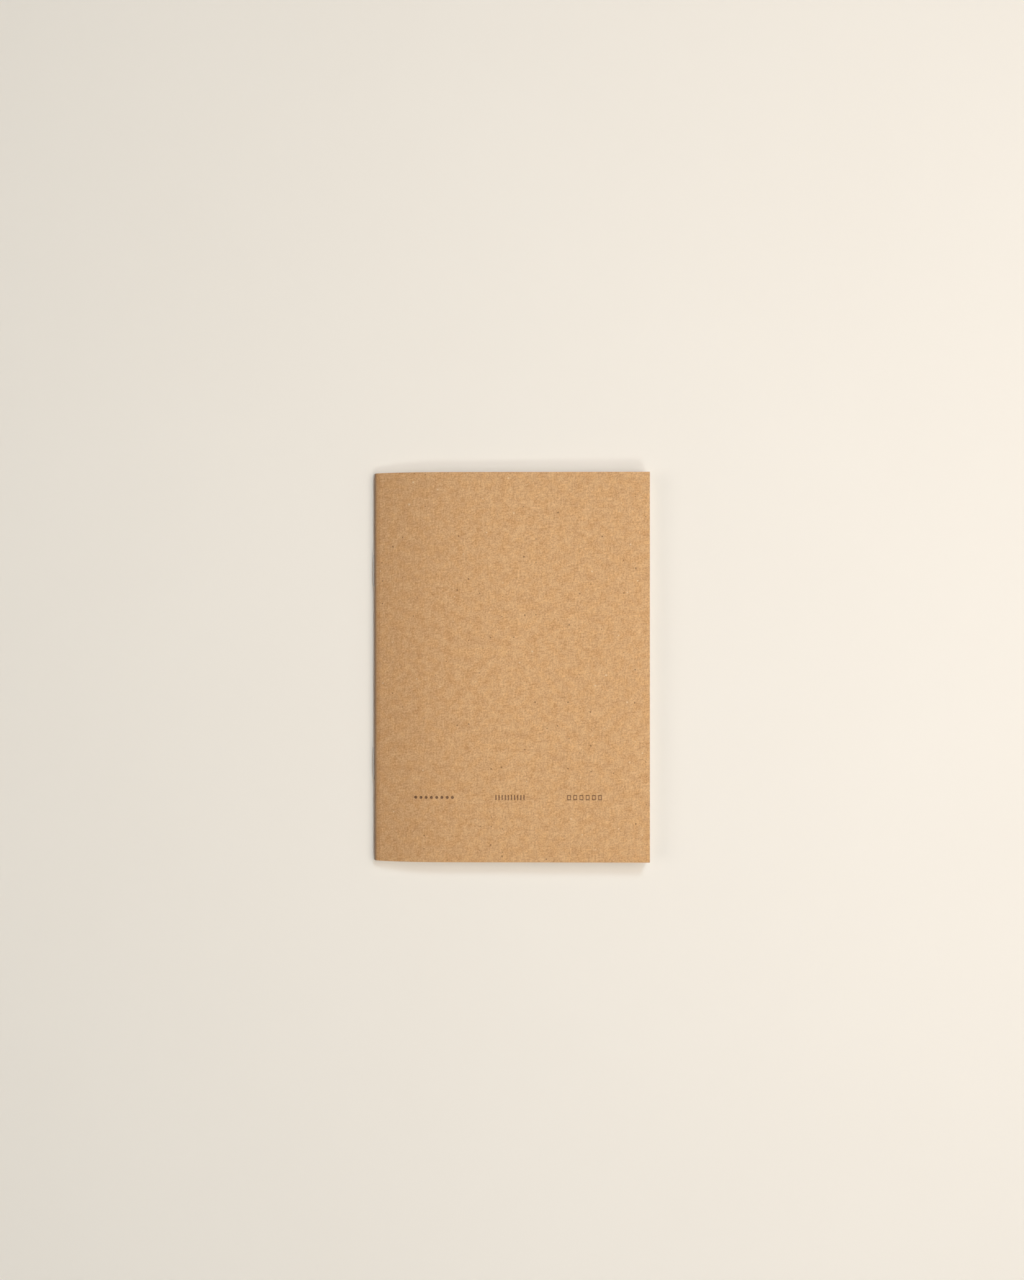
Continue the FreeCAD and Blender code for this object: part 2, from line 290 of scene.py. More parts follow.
def specks_group():
    """Scattered specks: one in each chosen cell, of uneven size."""
    group, given, result = new_group(
        "Specks",
        (("Vector", "NodeSocketVector", (0, 0, 0)), ("Spacing", "NodeSocketFloat", 3.0),
         ("Speck Size", "NodeSocketFloat", 0.3), ("Share", "NodeSocketFloat", 0.3),
         ("Stretch", "NodeSocketVector", (1, 1, 1)), ("Turn", "NodeSocketVector", (0, 0, 0))),
        (("Mask", "NodeSocketFloat"),))
    in_mm = in_millimetres(group, given["Vector"])
    wander = place(group, "ShaderNodeTexNoise", "Wander", {"Vector": in_mm, "Scale": 1.3}).outputs[1]
    inputs = {0: wander, 1: (0.25, 0.25, 0.25), 2: in_mm}
    bent = place(group, "ShaderNodeVectorMath", "Uneven", inputs, operation="MULTIPLY_ADD").outputs[0]
    inputs = {"Vector": bent, "Rotation": given["Turn"], "Scale": given["Stretch"]}
    turned = place(group, "ShaderNodeMapping", "Lie", inputs, vector_type="TEXTURE").outputs[0]
    scale = sums(group, "DIVIDE", "Cell scale", 1.0, given["Spacing"])
    cells = place(group, "ShaderNodeTexVoronoi", "Cells", {"Vector": turned, "Scale": scale},
                  voronoi_dimensions="2D")
    chance = place(group, "ShaderNodeSeparateColor", "Chance", {0: cells.outputs["Color"]})
    chosen = sums(group, "LESS_THAN", "Chosen cells", chance.outputs[0], given["Share"])
    far = sums(group, "MULTIPLY", "Distance in mm", cells.outputs["Distance"], given["Spacing"])
    size = sums(group, "MULTIPLY", "Uneven size", given["Speck Size"], sums(
        group, "ADD", "Some spread", chance.outputs[1], 0.35))
    spot = fade(group, "Soft spot", sums(group, "DIVIDE", "Over its size", far, size), 0.35, 0.75)
    group.links.new(sums(group, "MULTIPLY", "Specks", spot, chosen), result["Mask"])
    return group


def mark_row_group():
    """A row of equal printed marks: round, or with square corners, at an even pitch."""
    group, given, result = new_group(
        "Mark Row",
        (("Vector", "NodeSocketVector", (0, 0, 0)), ("Start", "NodeSocketFloat", 0.0),
         ("Length", "NodeSocketFloat", 0.016), ("Middle", "NodeSocketFloat", 0.0),
         ("Pitch", "NodeSocketFloat", 0.002), ("Half Width", "NodeSocketFloat", 0.0005),
         ("Half Height", "NodeSocketFloat", 0.001), ("Hollow", "NodeSocketFloat", 0.0),
         ("Round", "NodeSocketFloat", 0.0)),
        (("Mask", "NodeSocketFloat"),))
    spot = place(group, "ShaderNodeSeparateXYZ", "Place", {0: given["Vector"]})
    along = sums(group, "SUBTRACT", "From start", spot.outputs[0], given["Start"])
    steps = sums(group, "DIVIDE", "In pitches", along, given["Pitch"])
    inside = sums(group, "FRACT", "Within a pitch", steps)
    from_middle = sums(group, "ABSOLUTE", "From mark middle", sums(
        group, "MULTIPLY", "Back to metres", sums(group, "SUBTRACT", "Centred", inside, 0.5),
        given["Pitch"]))
    up = sums(group, "ABSOLUTE", "From row middle", sums(
        group, "SUBTRACT", "Up", spot.outputs[1], given["Middle"]))
    wide = sums(group, "DIVIDE", "Width share", from_middle, given["Half Width"])
    high = sums(group, "DIVIDE", "Height share", up, given["Half Height"])
    square = sums(group, "MAXIMUM", "Square reach", wide, high)
    across = place(group, "ShaderNodeCombineXYZ", "Both ways", {0: wide, 1: high, 2: 0.0}).outputs[0]
    circle = place(group, "ShaderNodeVectorMath", "Round reach", {0: across}, operation="LENGTH")
    reach = place(group, "ShaderNodeMix", "Reach",
                  {0: given["Round"], 2: square, 3: circle.outputs["Value"]}, data_type="FLOAT").outputs[0]
    filled = fade(group, "Ink spread", reach, 0.88, 1.06)
    hole = fade(group, "Clear middle", reach, 0.50, 0.68)
    shape = sums(group, "SUBTRACT", "Outline", filled, sums(
        group, "MULTIPLY", "Hole", hole, given["Hollow"]), clamp=True)
    after = sums(group, "GREATER_THAN", "After start", along, 0.0)
    before = sums(group, "LESS_THAN", "Before end", along, given["Length"])
    row = sums(group, "MULTIPLY", "In the row", after, before)
    group.links.new(sums(group, "MULTIPLY", "Marks", shape, row), result["Mask"])
    return group


def group_named(name, maker):
    return bpy.data.node_groups.get(name) or maker()


# ---------------------------------------------------------------- materials

def uv_of(tree):
    return place(tree, "ShaderNodeUVMap", "Unrolled sheet", uv_map="sheet").outputs[0]


def object_place(tree):
    return place(tree, "ShaderNodeTexCoord", "Place").outputs["Object"]


def speck_layer(tree, label, vector, spacing, size, share, stretch, turn):
    """Mask of one kind of speck: spacing and size in mm, and the share of cells that hold one."""
    inputs = {"Vector": vector, "Spacing": spacing, "Speck Size": size, "Share": share,
              "Stretch": stretch, "Turn": (0, 0, math.radians(turn))}
    return use_group(tree, group_named("Specks", specks_group), label, inputs).outputs[0]


def kraft_colour(tree, vector, clear=None):
    """Colour, relief and tone of unbleached card, with its specks, flecks and hairs, and painted shade near
    the spine.

    Where the mask given as clear is 0, no speck or hair shows.
    """
    tints = colours()
    inputs = {"Vector": vector, "Cloud Size": 4.0, "Grain Size": 0.62, "Fibre Length": 2.6,
              "Cloud Share": 0.14}
    pulp = use_group(tree, group_named("Pulp", pulp_group), "Kraft pulp", inputs)
    spread = place(tree, "ShaderNodeMapRange", "Tone spread",
                   {"Value": pulp.outputs["Tone"], 1: 0.39, 2: 0.61}).outputs[0]
    colour = blend_colour(tree, "Kraft tone", spread, tints.kraft_dark, tints.kraft_light)
    inputs = {"Vector": vector, "Scale": 0.28 / MM, "Detail": 2.0}
    patch = place(tree, "ShaderNodeTexNoise", "Warm patches", inputs).outputs[0]
    patch = fade(tree, "Patch share", patch, 0.64, 0.40)
    colour = blend_colour(tree, "Warmer card", patch, colour, (1.0, 0.965, 0.90, 1), "MULTIPLY")
    specks = (
        # name, spacing, size, share, stretch, turn in degrees, strength, colour
        ("Bark specks", 4.2, 0.44, 0.13, (1, 1, 1), 0, 0.75, tints.kraft_speck),
        ("Fine specks", 1.7, 0.22, 0.08, (1, 1, 1), 0, 0.40, tints.kraft_speck),
        ("Pale flecks", 6.0, 0.46, 0.13, (1, 1, 1), 35, 0.50, tints.kraft_fleck),
        ("Hairs", 5.0, 0.24, 0.07, (4.5, 0.62, 1), -76, 0.42, tints.kraft_speck),
        ("Cross hairs", 5.5, 0.22, 0.07, (5.0, 0.60, 1), 24, 0.45, tints.kraft_fleck),
    )
    for label, spacing, size, share, stretch, turn, strength, tint in specks:
        mask = speck_layer(tree, label, vector, spacing, size, share, stretch, turn)
        shown = sums(tree, "MULTIPLY", label + " strength", mask, strength)
        if clear is not None:
            shown = sums(tree, "MULTIPLY", label + " off the print", shown, clear)
        colour = blend_colour(tree, label + " on card", shown, colour, tint)
    return painted_shade_near_spine(tree, vector, colour), pulp.outputs["Height"], spread


def painted_shade_near_spine(tree, vector, colour):
    """Painted shade on the card: darker towards its fold, darker in a narrow band at its crease, and grey
    along the outside of the spine.
    """
    tints = colours()
    bands = (
        # name, full up to and gone from this many mm off the spine's middle, strength, colour
        # painted shade, darker towards the fold
        ("Painted Fold Shade", 2.5, 62.0, 0.19, tints.kraft_painted_shade),
        # painted shade in a narrow band at the crease
        ("Painted Crease Shade", 3.3, 3.9, 0.20, tints.kraft_painted_shade),
        # painted shade along the outside of the spine, where it turns away from the lights
        ("Painted Spine Shade", 1.6, 2.4, 0.60, tints.kraft_spine_painted_shade),
    )
    across = place(tree, "ShaderNodeSeparateXYZ", "Across the sheet", {0: vector}).outputs[0]
    from_spine = sums(tree, "ABSOLUTE", "From spine line", across)
    for label, full, gone, strength, tint in bands:
        band = fade(tree, label + " band", from_spine, full * MM, gone * MM)
        share = sums(tree, "MULTIPLY", label + " strength", band, strength)
        colour = blend_colour(tree, label, share, colour, tint)
    return colour


def add_relief(tree, shader, height, distance, strength):
    inputs = {"Height": height, "Distance": distance, "Strength": strength}
    bump = place(tree, "ShaderNodeBump", "Relief", inputs)
    tree.links.new(bump.outputs[0], shader.inputs["Normal"])


def clear_of_print(tree, vector, row):
    """0 in a narrow band along the printed rows, where a speck could join a mark, and 1 elsewhere."""
    up = place(tree, "ShaderNodeSeparateXYZ", "Up the sheet", {0: vector}).outputs[1]
    from_row = sums(tree, "ABSOLUTE", "From the rows", sums(tree, "SUBTRACT", "Above the rows", up, row))
    return fade(tree, "Clear of print", from_row, SPECKS_FULL, SPECKS_GONE)


def kraft_material(name="card_plain", print_row=None):
    """Unbleached card; its specks keep clear of print_row, where rows are to be printed."""
    material, tree, shader = new_material(name)
    clear = None if print_row is None else clear_of_print(tree, uv_of(tree), print_row)
    colour, height, spread = kraft_colour(tree, uv_of(tree), clear)
    tree.links.new(colour, shader.inputs["Base Color"])
    rough = place(tree, "ShaderNodeMapRange", "Roughness", {"Value": spread, 3: 0.88, 4: 0.74})
    tree.links.new(rough.outputs[0], shader.inputs["Roughness"])
    add_relief(tree, shader, height, 0.05 * MM, 0.55)
    shader.inputs["Specular IOR Level"].default_value = 0.25
    shader.inputs["Sheen Weight"].default_value = 0.08
    return material


def mark_rows(tree, vector, left, middle):
    """Three small rows of plain marks near the foot of the front cover."""
    rows = (
        # name, start, length, pitch, half width, half height (all in mm), hollow, round
        ("Row of dots", 13.4, 16.0, 2.0, 0.60, 0.60, 0.0, 1.0),
        ("Row of lines", 44.3, 11.8, 1.18, 0.24, 1.02, 0.0, 0.0),
        ("Row of pages", 71.4, 14.1, 2.35, 0.74, 1.02, 1.0, 0.0),
    )
    total = None
    for label, start, length, pitch, half_width, half_height, hollow, circle in rows:
        inputs = {"Vector": vector, "Start": left + start * MM, "Length": length * MM,
                  "Middle": middle, "Pitch": pitch * MM, "Half Width": half_width * MM,
                  "Half Height": half_height * MM, "Hollow": hollow, "Round": circle}
        mask = use_group(tree, group_named("Mark Row", mark_row_group), label, inputs).outputs[0]
        total = mask if total is None else sums(tree, "MAXIMUM", "With " + label, total, mask)
    return total


def printed_kraft_material():
    """The same card with its ink, which sinks unevenly into the fibres."""
    print_row = BACK_LOW.y + PRINT_HEIGHT
    material = kraft_material("card_printed", print_row)
    tree = material.node_tree
    shader = tree.nodes["Principled BSDF"]
    card = shader.inputs["Base Color"].links[0].from_socket
    mask = mark_rows(tree, uv_of(tree), CARD_WRAP, print_row)
    relief = tree.nodes["Kraft pulp"].outputs["Height"]
    uneven = place(tree, "ShaderNodeMapRange", "Ink take-up",
                   {"Value": relief, 1: 0.35, 2: 0.65, 3: 0.95, 4: 0.68})
    share = sums(tree, "MULTIPLY", "Ink share", mask, uneven.outputs[0])
    inked = blend_colour(tree, "Ink on card", share, card, colours().ink)
    tree.links.new(inked, shader.inputs["Base Color"])
    return material


def card_cut_material():
    """The cut edge of the card: rougher and duller, with the layers of pulp showing."""
    material, tree, shader = new_material("card_cut")
    inputs = {"Vector": uv_of(tree), "Cloud Size": 3.0, "Grain Size": 0.25, "Fibre Length": 0.8}
    pulp = use_group(tree, group_named("Pulp", pulp_group), "Cut pulp", inputs)
    darker = blend_colour(tree, "Deeper tone", 0.35, colours().card_cut, (0.20, 0.11, 0.05, 1))
    colour = blend_colour(tree, "Cut tone", pulp.outputs["Tone"], darker, colours().kraft_light)
    tree.links.new(colour, shader.inputs["Base Color"])
    shader.inputs["Roughness"].default_value = 0.9
    add_relief(tree, shader, pulp.outputs["Height"], 0.08 * MM, 0.7)
    return material


def paper_base(tree, shader, vector):
    """Colour of uncoated paper, with its relief and finish set on the shader."""
    inputs = {"Vector": vector, "Cloud Size": 9.0, "Grain Size": 0.5, "Fibre Length": 1.6}
    pulp = use_group(tree, group_named("Pulp", pulp_group), "Paper pulp", inputs)
    warm = blend_colour(tree, "Warmer tone", 1.0, colours().paper, (0.955, 0.94, 0.91, 1), "MULTIPLY")
    colour = blend_colour(tree, "Paper tone", pulp.outputs["Tone"], warm, colours().paper)
    shader.inputs["Roughness"].default_value = 0.85
    shader.inputs["Specular IOR Level"].default_value = 0.3
    add_relief(tree, shader, pulp.outputs["Height"], 0.02 * MM, 0.35)
    return colour


def dotted_paper_material():
    """Leaves with a square grid of small dots that keeps clear of the fold."""
    material, tree, shader = new_material("paper_dotted")
    vector = uv_of(tree)
    colour = paper_base(tree, shader, vector)
    spot = place(tree, "ShaderNodeSeparateXYZ", "Place on leaf", {0: vector})
    pitch = sizes().dot_pitch

    def from_line(axis, label, margin):
        """Distance along one axis to the nearest dot of the grid, which the margin moves."""
        moved = sums(tree, "ADD", label + " margin", spot.outputs[axis], margin)
        steps = sums(tree, "DIVIDE", label + " steps", moved, pitch)
        inside = sums(tree, "SUBTRACT", label + " centred", sums(
            tree, "FRACT", label + " part", steps), 0.5)
        return sums(tree, "MULTIPLY", label + " off dot", inside, pitch)

    inputs = {0: from_line(0, "Across", pitch / 4), 1: from_line(1, "Up", 0.0), 2: 0.0}
    offset = place(tree, "ShaderNodeCombineXYZ", "Off dot", inputs).outputs[0]
    far = place(tree, "ShaderNodeVectorMath", "Distance from dot", {0: offset}, operation="LENGTH")
    radius = sizes().dot_size / 2
    dots = fade(tree, "Dots", far.outputs["Value"], radius * 0.75, radius * 1.1)
    clear = sums(tree, "GREATER_THAN", "Clear of the fold", spot.outputs[0], pitch * 0.8)
    share = sums(tree, "MULTIPLY", "Dot strength", sums(
        tree, "MULTIPLY", "Dots kept", dots, clear), 0.75)
    tree.links.new(blend_colour(tree, "Dots on paper", share, colour, colours().dot_ink),
                   shader.inputs["Base Color"])
    return material


def cut_paper_material():
    """The cut edges of the leaves, without dots."""
    material, tree, shader = new_material("paper_cut")
    tree.links.new(paper_base(tree, shader, uv_of(tree)), shader.inputs["Base Color"])
    return material


def folded_paper_material():
    """The paper of the leaves, for the folds, which have no UV map."""
    material, tree, shader = new_material("paper_folded")
    tree.links.new(paper_base(tree, shader, object_place(tree)), shader.inputs["Base Color"])
    return material


def wire_material():
    """Drawn steel wire with fine lengthwise scratches and a little dulling."""
    material, tree, shader = new_material("staple_wire")
    across_wire, along_wire = 14.0 / MM, 0.9 / MM
    inputs = {"Vector": object_place(tree), "Scale": (across_wire, along_wire, across_wire)}
    drawn = place(tree, "ShaderNodeMapping", "Drawing lines", inputs).outputs[0]
    lines = place(tree, "ShaderNodeTexNoise", "Lines",
                  {"Vector": drawn, "Scale": 1.0, "Detail": 3.0}).outputs[0]
    rough = place(tree, "ShaderNodeMapRange", "Roughness", {"Value": lines, 3: 0.22, 4: 0.42})
    tree.links.new(rough.outputs[0], shader.inputs["Roughness"])
    dull = blend_colour(tree, "Dulled steel", 1.0, colours().steel, (0.72, 0.71, 0.70, 1), "MULTIPLY")
    tree.links.new(blend_colour(tree, "Steel tone", lines, dull, colours().steel),
                   shader.inputs["Base Color"])
    shader.inputs["Metallic"].default_value = 1.0
    add_relief(tree, shader, lines, 0.01 * MM, 0.3)
    return material


def table_material():
    """Matt, pale and very slightly clouded."""
    material, tree, shader = new_material("table_top")
    inputs = {"Vector": object_place(tree), "Scale": 9.0, "Detail": 4.0, "Roughness": 0.6}
    cloud = place(tree, "ShaderNodeTexNoise", "Soft clouds", inputs).outputs[0]
    darker = blend_colour(tree, "Deeper tone", 1.0, colours().table, (0.975, 0.97, 0.965, 1), "MULTIPLY")
    tree.links.new(blend_colour(tree, "Table tone", cloud, darker, colours().table),
                   shader.inputs["Base Color"])
    shader.inputs["Roughness"].default_value = 0.9
    shader.inputs["Specular IOR Level"].default_value = 0.1
    return material


def material_named(name, maker):
    return bpy.data.materials.get(name) or maker()


# ---------------------------------------------------------------- shapes

class Strip:
    """Side view of a leaf or the front cover: an arc from its root, then straight to the fore edge."""

    def __init__(self, node, thickness, start_x=None):
        low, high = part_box(node)
        rise = high.z - low.z - thickness
        bend_height = low.z + rise * sizes().bend_share
        self.thickness = thickness
        self.bend = Vector((HINGE.x + sizes().bend_run, 0, bend_height))
        self.edge = Vector((high.x, 0, low.z + rise))
        self.foot, self.head = low.y, high.y
        chord = self.bend - Vector((low.x, 0, low.z))
        run = self.edge - self.bend
        self.end_slope = math.atan2(run.z, run.x)
        half_turn = math.atan2(chord.z, chord.x) - self.end_slope
        self.radius = chord.length / (2 * math.sin(half_turn))
        lean = Vector((-math.sin(self.end_slope), 0, math.cos(self.end_slope)))
        self.centre = self.bend - lean * self.radius
        self.start_slope = self.slope_at(low.x if start_x is None else start_x)
        self.turn = self.start_slope - self.end_slope
        rise_line = Vector((-math.sin(self.start_slope), 0, math.cos(self.start_slope)))
        self.root = self.centre + rise_line * self.radius

    def slope_at(self, x):
        return math.asin((self.centre.x - x) / self.radius)

    def unrolled(self, x):
        """Distance from the root along the strip."""
        if x > self.bend.x:
            return self.radius * self.turn + (x - self.bend.x) / math.cos(self.end_slope)
        return self.radius * (self.start_slope - self.slope_at(x))


def across_line(bm, spot, foot, head):
    """An edge along the notebook's length."""
    ends = [bm.verts.new((spot.x, y, spot.z)) for y in (foot, head)]
    return ends + [bm.edges.new(ends)]


def spin_on(bm, geometry, centre, angle, steps):
    """Turn an edge about a line along the notebook; a positive angle lowers its slope."""
    return bmesh.ops.spin(bm, geom=geometry, cent=centre, axis=Y_AXIS, angle=angle,
                          steps=steps, use_duplicate=False)["geom_last"]


def push_on(bm, geometry, step):
    """Extrude an edge by one straight step."""
    edges = [item for item in geometry if isinstance(item, bmesh.types.BMEdge)]
    made = bmesh.ops.extrude_edge_only(bm, edges=edges)["geom"]
    moved = [item for item in made if isinstance(item, bmesh.types.BMVert)]
    bmesh.ops.translate(bm, verts=moved, vec=step)
    return made


def thicken_up(bm, thickness):
    """Give a sheet its thickness by lifting a copy of it straight up."""
    made = bmesh.ops.extrude_face_region(bm, geom=bm.faces[:], use_keep_orig=True)["geom"]
    lifted = [item for item in made if isinstance(item, bmesh.types.BMVert)]
    bmesh.ops.translate(bm, verts=lifted, vec=(0, 0, thickness))


def soften(bm, edges, width, segments=2):
    """Round off edges with a small bevel."""
    bmesh.ops.bevel(bm, geom=edges, offset=width, offset_type="OFFSET", affect="EDGES",
                    segments=segments, profile=0.5, material=-1, clamp_overlap=True)


def sharp_edges(bm):
    return [edge for edge in bm.edges
            if len(edge.link_faces) == 2 and edge.calc_face_angle() > SOFTEN_FROM]


def mark_cut_faces(bm, is_cut):
    """Give the cut faces the second material."""
    for face in bm.faces:
        face.material_index = 1 if is_cut(face) else 0


def lay_uv(bm, unroll):
    """UV map of the flat sheet in metres: across the fold, then along it."""
    layer = bm.loops.layers.uv.new("sheet")
    for face in bm.faces:
        for loop in face.loops:
            loop[layer].uv = (unroll(loop.vert.co), loop.vert.co.y)


def finish_piece(bm, name, materials):
    """Turn a bmesh into an object at the origin, smooth except at its real edges."""
    bmesh.ops.remove_doubles(bm, verts=bm.verts, dist=WELD)
    bmesh.ops.recalc_face_normals(bm, faces=bm.faces)
    mesh = bpy.data.meshes.new(name)
    bm.to_mesh(mesh)
    bm.free()
    for material in materials:
        mesh.materials.append(material)
    mesh.shade_smooth()
    mesh.set_sharp_from_angle(angle=SMOOTH_UP_TO)
    piece = bpy.data.objects.new(name, mesh)
    bpy.context.scene.collection.objects.link(piece)
    return piece


def sprung_strip(strip, crease, crease_steps, bend_steps, straight_steps):
    """The strip's solid, with fine rows at its crease and wide ones where it is straight."""
    bm = bmesh.new()
    line = across_line(bm, strip.root, strip.foot, strip.head)
    crease_turn = crease / strip.radius
    line = spin_on(bm, line, strip.centre, crease_turn, crease_steps)
    line = spin_on(bm, line, strip.centre, strip.turn - crease_turn, bend_steps)
    for _ in range(straight_steps):
        line = push_on(bm, line, (strip.edge - strip.bend) / straight_steps)
    thicken_up(bm, strip.thickness)
    bmesh.ops.recalc_face_normals(bm, faces=bm.faces)
    return bm


def is_cut_face(face):
    """True for a face that looks along the page rather than out of it."""
    return abs(face.normal.z) < FACING


# ---------------------------------------------------------------- operators

class NOTEBOOK_OT_front_cover(bpy.types.Operator):
    """Build the sprung front cover with its crease, soft edges and printed marks"""

    bl_idname = "notebook.front_cover"
    bl_label = "Front Cover"

    def execute(self, context):
        strip = Strip("front_cover", CARD, start_x=HINGE.x)
        bm = sprung_strip(strip, sizes().cover_crease, crease_steps=6, bend_steps=28, straight_steps=6)
        at_fold = [edge for edge in bm.edges
                   if all(vert.co.x < strip.root.x + CARD / 10 for vert in edge.verts)]
        soften(bm, [edge for edge in sharp_edges(bm) if edge not in at_fold], sizes().card_edge)
        bm.normal_update()
        mark_cut_faces(bm, is_cut_face)
        inside = 2
        for face in bm.faces:
            if face.normal.z < -FACING:
                face.material_index = inside
        lay_uv(bm, lambda spot: CARD_WRAP + strip.unrolled(spot.x))
        materials = [material_named("card_printed", printed_kraft_material),
                     material_named("card_cut", card_cut_material),
                     material_named("card_plain", kraft_material)]
        piece = finish_piece(bm, "front_cover_card", materials)
        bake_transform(piece)
        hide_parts("front_cover")
        return {"FINISHED"}


class NOTEBOOK_OT_cover_spine(bpy.types.Operator):
    """Build the rounded spine of the card, worn soft at its two ends"""

    bl_idname = "notebook.cover_spine"
    bl_label = "Cover Spine"

    def execute(self, context):
        bm = bmesh.new()
        start = SPINE_CENTRE - Vector((0, 0, SPINE_RADIUS))
        line = across_line(bm, start, SPINE_LOW.y, SPINE_HIGH.y)
        spin_on(bm, line, SPINE_CENTRE, math.pi, SPINE_STEPS)
        made = bmesh.ops.extrude_face_region(bm, geom=bm.faces[:], use_keep_orig=True)["geom"]
        inner = [item for item in made if isinstance(item, bmesh.types.BMVert)]
        shrink = (SPINE_RADIUS - CARD) / SPINE_RADIUS
        bmesh.ops.scale(bm, verts=inner, vec=(shrink, 1, shrink),
                        space=Matrix.Translation(-SPINE_CENTRE))
        bmesh.ops.recalc_face_normals(bm, faces=bm.faces)

        def on_outer_rim(edge):
            """True for an edge round the outside of either end, not for one along the spine."""
            reach = [(vert.co - SPINE_CENTRE) * Vector((1, 0, 1)) for vert in edge.verts]
            outer = all(spot.length > SPINE_RADIUS - CARD / 2 for spot in reach)
            ends = [vert.co.y for vert in edge.verts]
            at_end = max(map(abs, ends)) > SPINE_HIGH.y - CARD / 2 and abs(ends[0] - ends[1]) < CARD
            return outer and at_end

        soften(bm, [edge for edge in bm.edges if on_outer_rim(edge)],
               sizes().spine_corner, segments=4)
        bm.normal_update()
        mark_cut_faces(bm, lambda face: abs(face.normal.y) > FACING)

        def wrapped(spot):
            """Distance round the outside of the spine, from its middle."""
            angle = math.atan2(spot.z - SPINE_CENTRE.z, SPINE_CENTRE.x - spot.x)
            return angle * SPINE_RADIUS

        lay_uv(bm, wrapped)
        materials = [material_named("card_plain", kraft_material),
                     material_named("card_cut", card_cut_material)]
        piece = finish_piece(bm, "cover_spine_card", materials)
        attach(piece, ROOT_BODY)
        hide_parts("cover_spine")
        return {"FINISHED"}


class NOTEBOOK_OT_back_cover(bpy.types.Operator):
    """Build the flat back cover with soft cut edges"""

    bl_idname = "notebook.back_cover"
    bl_label = "Back Cover"

    def execute(self, context):
        bm = bmesh.new()
        line = across_line(bm, BACK_LOW, BACK_LOW.y, BACK_HIGH.y)
        push_on(bm, line, (BACK_HIGH.x - BACK_LOW.x, 0, 0))
        thicken_up(bm, CARD)
        bmesh.ops.recalc_face_normals(bm, faces=bm.faces)
        at_spine = [edge for edge in bm.edges
                    if all(abs(vert.co.x - BACK_LOW.x) < CARD / 2 for vert in edge.verts)]
        soften(bm, [edge for edge in sharp_edges(bm) if edge not in at_spine], sizes().card_edge)
        bm.normal_update()
        mark_cut_faces(bm, is_cut_face)
        lay_uv(bm, lambda spot: -CARD_WRAP - (spot.x - BACK_LOW.x))
        materials = [material_named("card_plain", kraft_material),
                     material_named("card_cut", card_cut_material)]
        piece = finish_piece(bm, "back_cover_card", materials)
        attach(piece, ROOT_BODY)
        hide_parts("back_cover")
        return {"FINISHED"}


class NOTEBOOK_OT_leaves(bpy.types.Operator):
    """Build the dotted leaves, each creased at its own fold"""

    bl_idname = "notebook.leaves"
    bl_label = "Leaves"

    def execute(self, context):
        materials = [material_named("paper_dotted", dotted_paper_material),
                     material_named("paper_cut", cut_paper_material)]
        carriers = LEAF_NAMES[1:] + [ROOT_BODY]
        for name, carrier in zip(LEAF_NAMES, carriers):
            strip = Strip(name, sizes().leaf_thickness)
            bm = sprung_strip(strip, sizes().leaf_crease, crease_steps=8, bend_steps=14, straight_steps=2)
            mark_cut_faces(bm, is_cut_face)
            lay_uv(bm, lambda spot: strip.unrolled(spot.x))
            piece = finish_piece(bm, name + "_paper", materials)
            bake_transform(piece)
            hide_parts(name)
        return {"FINISHED"}


class NOTEBOOK_OT_folds(bpy.types.Operator):
    """Give the folds of the sheets the paper of the leaves"""

    bl_idname = "notebook.folds"
    bl_label = "Sheet Folds"

    def execute(self, context):
        paper = material_named("paper_folded", folded_paper_material)
        for name in FOLD_NAMES:
            for slot in frame["nodes"][name].material_slots:
                slot.material = paper
        return {"FINISHED"}


class NOTEBOOK_OT_staples(bpy.types.Operator):
    """Give the two staples their drawn steel wire"""

    bl_idname = "notebook.staples"
    bl_label = "Staples"

    def execute(self, context):
        wire = material_named("staple_wire", wire_material)
        for name in STAPLE_NAMES:
            for slot in frame["nodes"][name].material_slots:
                slot.material = wire
        return {"FINISHED"}


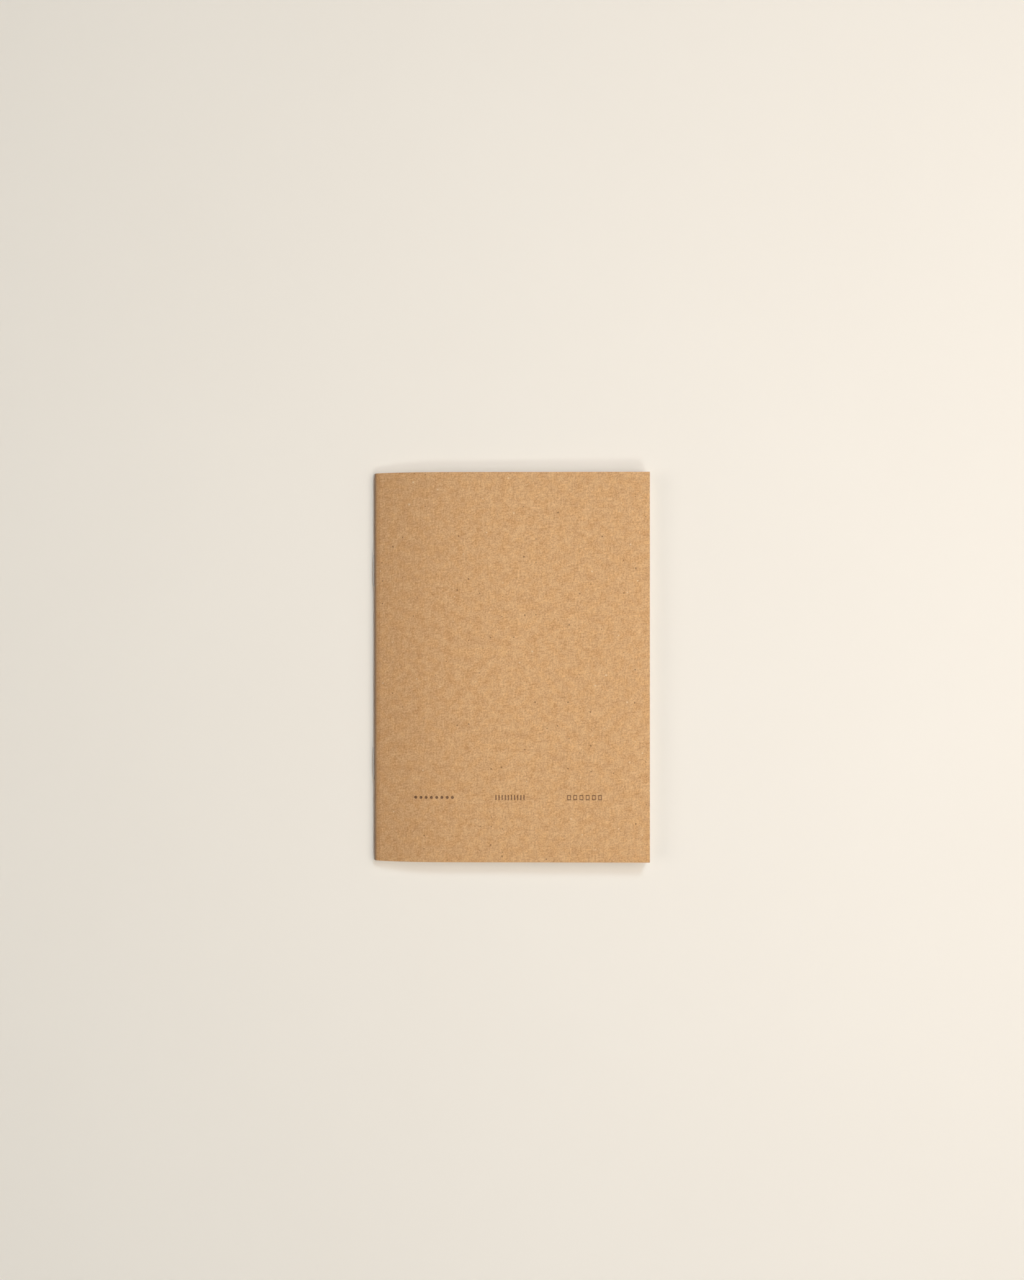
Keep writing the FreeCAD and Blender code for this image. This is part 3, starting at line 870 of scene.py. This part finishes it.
class NOTEBOOK_OT_stage(bpy.types.Operator):
    """Lay the table, hang the studio lights and set the camera"""

    bl_idname = "notebook.stage"
    bl_label = "Stage"

    def execute(self, context):
        self.lay_table()
        self.hang_lights()
        self.set_camera(context.scene)
        context.scene.view_settings.view_transform = "Standard"
        return {"FINISHED"}

    def lay_table(self):
        """A round table that sweeps up into a pale wall."""
        bm = bmesh.new()
        line = [bm.verts.new((reach, 0, -FLOOR_GAP)) for reach in (0, FLOOR_RADIUS)]
        bm.edges.new(line)
        made = bmesh.ops.spin(bm, geom=[line[1]], cent=(FLOOR_RADIUS, 0, SWEEP_RADIUS), axis=-Y_AXIS,
                              angle=math.pi / 2, steps=12, use_duplicate=False)["geom_last"]
        top = [item for item in made if isinstance(item, bmesh.types.BMVert)]
        made = bmesh.ops.extrude_vert_indiv(bm, verts=top)["verts"]
        bmesh.ops.translate(bm, verts=made, vec=(0, 0, WALL_RISE))
        profile = bm.verts[:] + bm.edges[:]
        bmesh.ops.spin(bm, geom=profile, cent=(0, 0, 0), axis=(0, 0, 1), angle=2 * math.pi,
                       steps=96, use_merge=True, use_duplicate=False)
        bmesh.ops.remove_doubles(bm, verts=bm.verts, dist=0.01 * MM)
        bmesh.ops.recalc_face_normals(bm, faces=bm.faces)
        if sum(face.normal.z * face.calc_area() for face in bm.faces) < 0:
            bmesh.ops.reverse_faces(bm, faces=bm.faces)
        mesh = bpy.data.meshes.new("table")
        bm.to_mesh(mesh)
        bm.free()
        mesh.shade_smooth()
        mesh.materials.append(material_named("table_top", table_material))
        table = bpy.data.objects.new("table", mesh)
        bpy.context.scene.collection.objects.link(table)

    def hang_lights(self):
        """A soft box overhead, and broad soft light past each right-hand corner and from the left."""
        box = bpy.data.lights.new("overhead", "AREA")
        box.shape = "SQUARE"
        box.size = 0.7
        self.hang(box, (0.33, 0.03, 0.75), 4.5, (1.0, 0.955, 0.925))
        far = (
            # name, place, width in degrees, strength, colour
            ("head_side", (0.42, 1.08, 1.45), 13, 0.85, (0.66, 0.85, 1.0)),
            ("foot_side", (0.42, -1.04, 1.45), 10, 0.55, (0.92, 1.0, 0.95)),
            ("spine_side", (-0.85, 0.0, 0.70), 30, 0.60, (1.0, 0.95, 0.91)),
        )
        for name, spot, angle, strength, tint in far:
            sun = bpy.data.lights.new(name, "SUN")
            sun.angle = math.radians(angle)
            self.hang(sun, spot, strength, tint)
        world = bpy.data.worlds.new("studio")
        world.use_nodes = True
        sky = world.node_tree.nodes["Background"]
        sky.inputs["Color"].default_value = (1.0, 0.945, 0.87, 1)
        sky.inputs["Strength"].default_value = 0.10
        bpy.context.scene.world = world

    def hang(self, lamp, spot, strength, tint):
        """Place a lamp so that it faces the notebook."""
        lamp.energy = strength
        lamp.color = tint
        holder = bpy.data.objects.new(lamp.name, lamp)
        holder.location = spot
        holder.rotation_euler = (-Vector(spot)).to_track_quat("-Z", "Y").to_euler()
        bpy.context.scene.collection.objects.link(holder)

    def set_camera(self, scene):
        """Straight down over a spot a little above and right of the notebook's middle."""
        lens = bpy.data.cameras.new("camera")
        lens.sensor_fit = "VERTICAL"
        lens.sensor_height = 36.0
        lens.lens = sizes().camera_lens
        camera = bpy.data.objects.new("camera", lens)
        camera.location = (0.5 * MM, 10.3 * MM, sizes().camera_height)
        scene.collection.objects.link(camera)
        scene.camera = camera


class NOTEBOOK_PT_panel(bpy.types.Panel):
    """Sizes, colours and building steps of the notebook"""

    bl_label = "Notebook"
    bl_space_type = "VIEW_3D"
    bl_region_type = "UI"
    bl_category = "Notebook"

    def draw(self, context):
        for settings in (sizes(), colours()):
            column = self.layout.column()
            for name in settings.__annotations__:
                column.prop(settings, name)
        for operator in OPERATORS:
            self.layout.operator(operator.bl_idname)


OPERATORS = (
    NOTEBOOK_OT_front_cover,
    NOTEBOOK_OT_cover_spine,
    NOTEBOOK_OT_back_cover,
    NOTEBOOK_OT_leaves,
    NOTEBOOK_OT_folds,
    NOTEBOOK_OT_staples,
    NOTEBOOK_OT_stage,
)
CLASSES = (NotebookSizes, NotebookColours) + OPERATORS + (NOTEBOOK_PT_panel,)


def register():
    for item in CLASSES:
        bpy.utils.register_class(item)
    bpy.types.Scene.notebook_sizes = bpy.props.PointerProperty(type=NotebookSizes)
    bpy.types.Scene.notebook_colours = bpy.props.PointerProperty(type=NotebookColours)


def unregister():
    del bpy.types.Scene.notebook_colours
    del bpy.types.Scene.notebook_sizes
    for item in reversed(CLASSES):
        bpy.utils.unregister_class(item)


def main():
    register()
    for operator in OPERATORS:
        group, name = operator.bl_idname.split(".")
        getattr(getattr(bpy.ops, group), name)()


if __name__ == "__main__":
    main()
